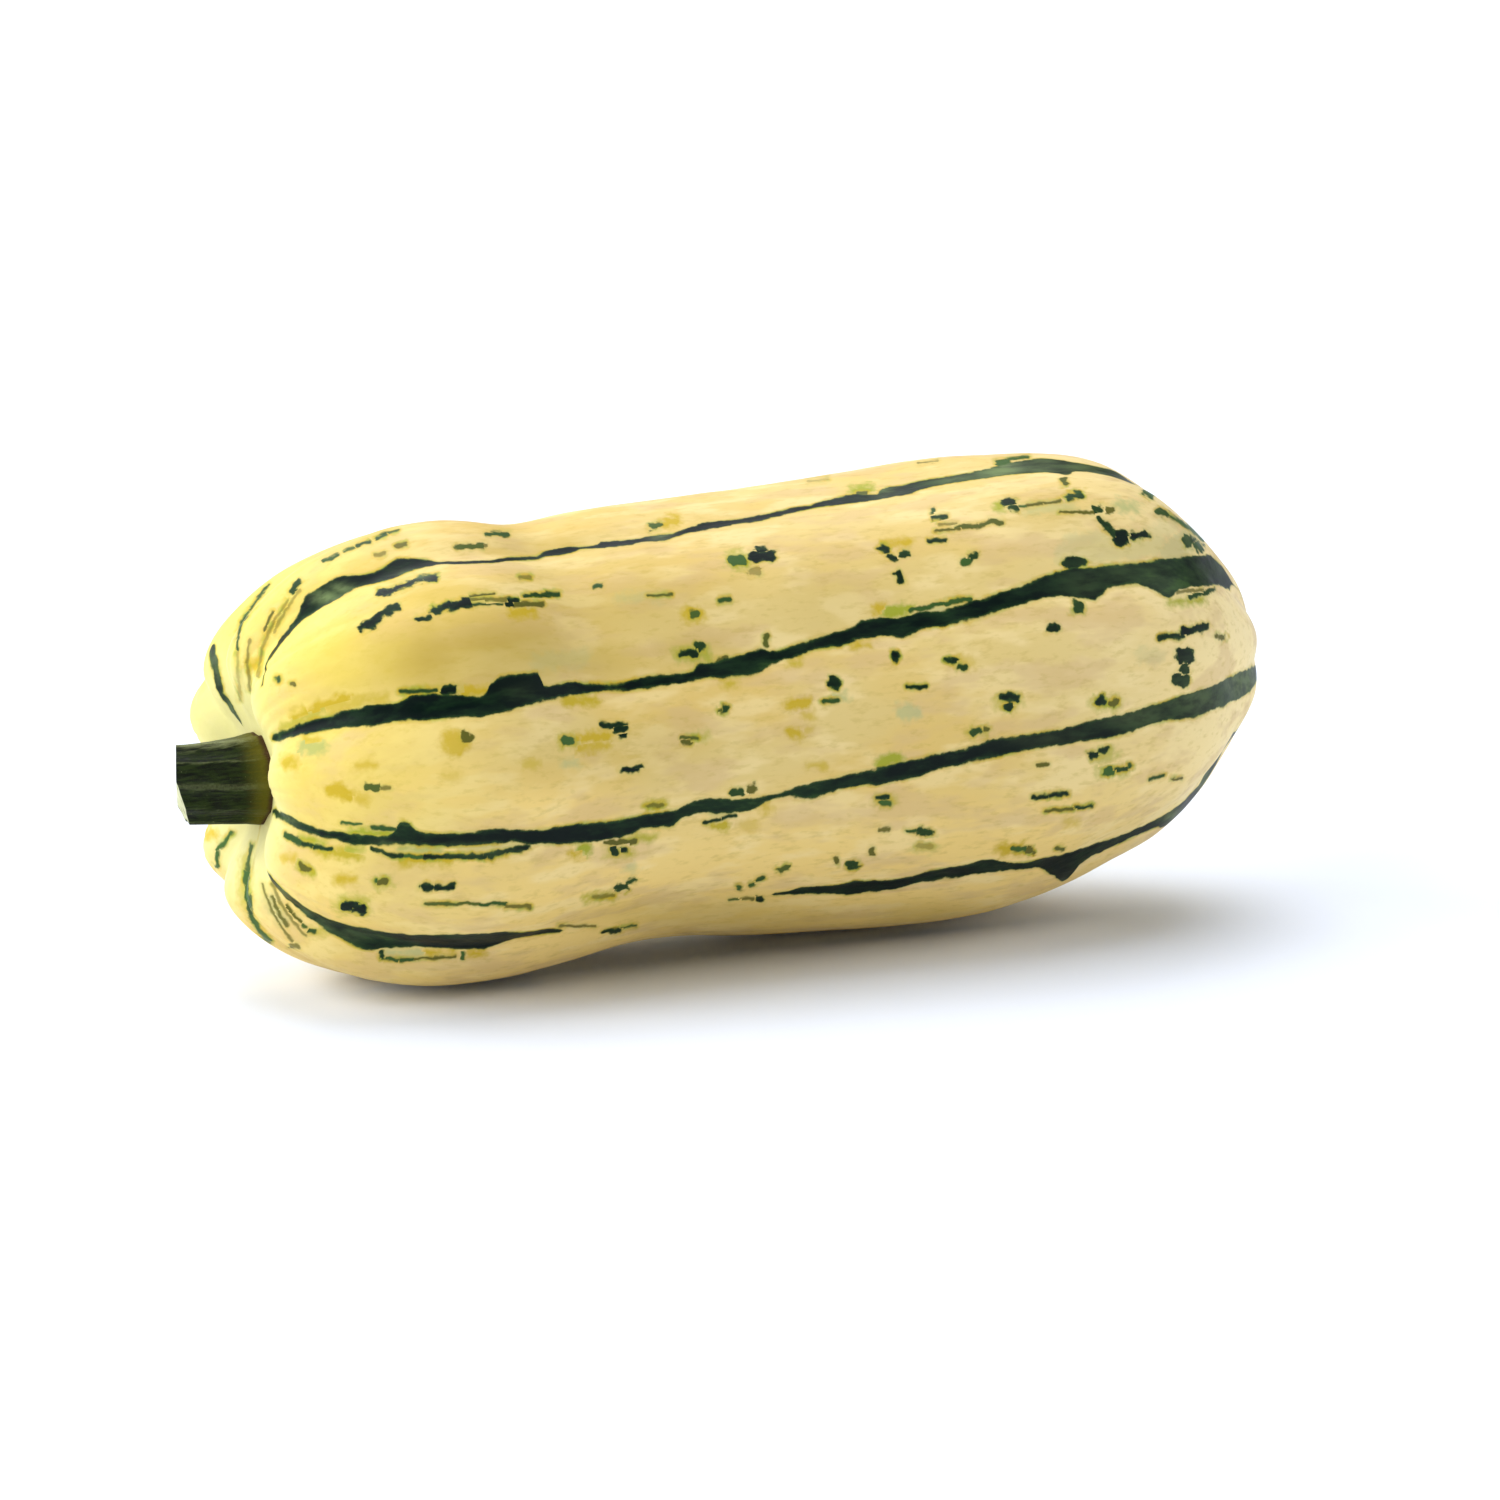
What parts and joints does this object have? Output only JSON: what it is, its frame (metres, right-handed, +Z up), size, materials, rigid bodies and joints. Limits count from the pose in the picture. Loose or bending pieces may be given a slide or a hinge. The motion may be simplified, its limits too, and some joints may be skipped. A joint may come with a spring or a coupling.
{
  "type": "delicata squash",
  "caption": "Oblong ribbed squash lying on its side, with a slight slanting waist, cream rind, dark green stripes along its grooves, green flecks and a short ridged stem cut aslant.",
  "frame": {"origin": "middle of the bottom of the box round the fruit and its stem, on the surface that it lies on", "axes": "+X along the fruit's length from the stem towards the blossom end, +Z up, and -Y towards the side seen in the picture"},
  "size_m": [0.2088, 0.0866, 0.0843],
  "materials": {
    "cream_rind": "smooth waxy rind, cream yellow with dark green stripes and flecks",
    "green_stem": "dull, fibrous and ridged, dark green"
  },
  "bodies": {
    "root": {"fruit": "cream_rind", "stem": "green_stem"}
  },
  "joints": []
}
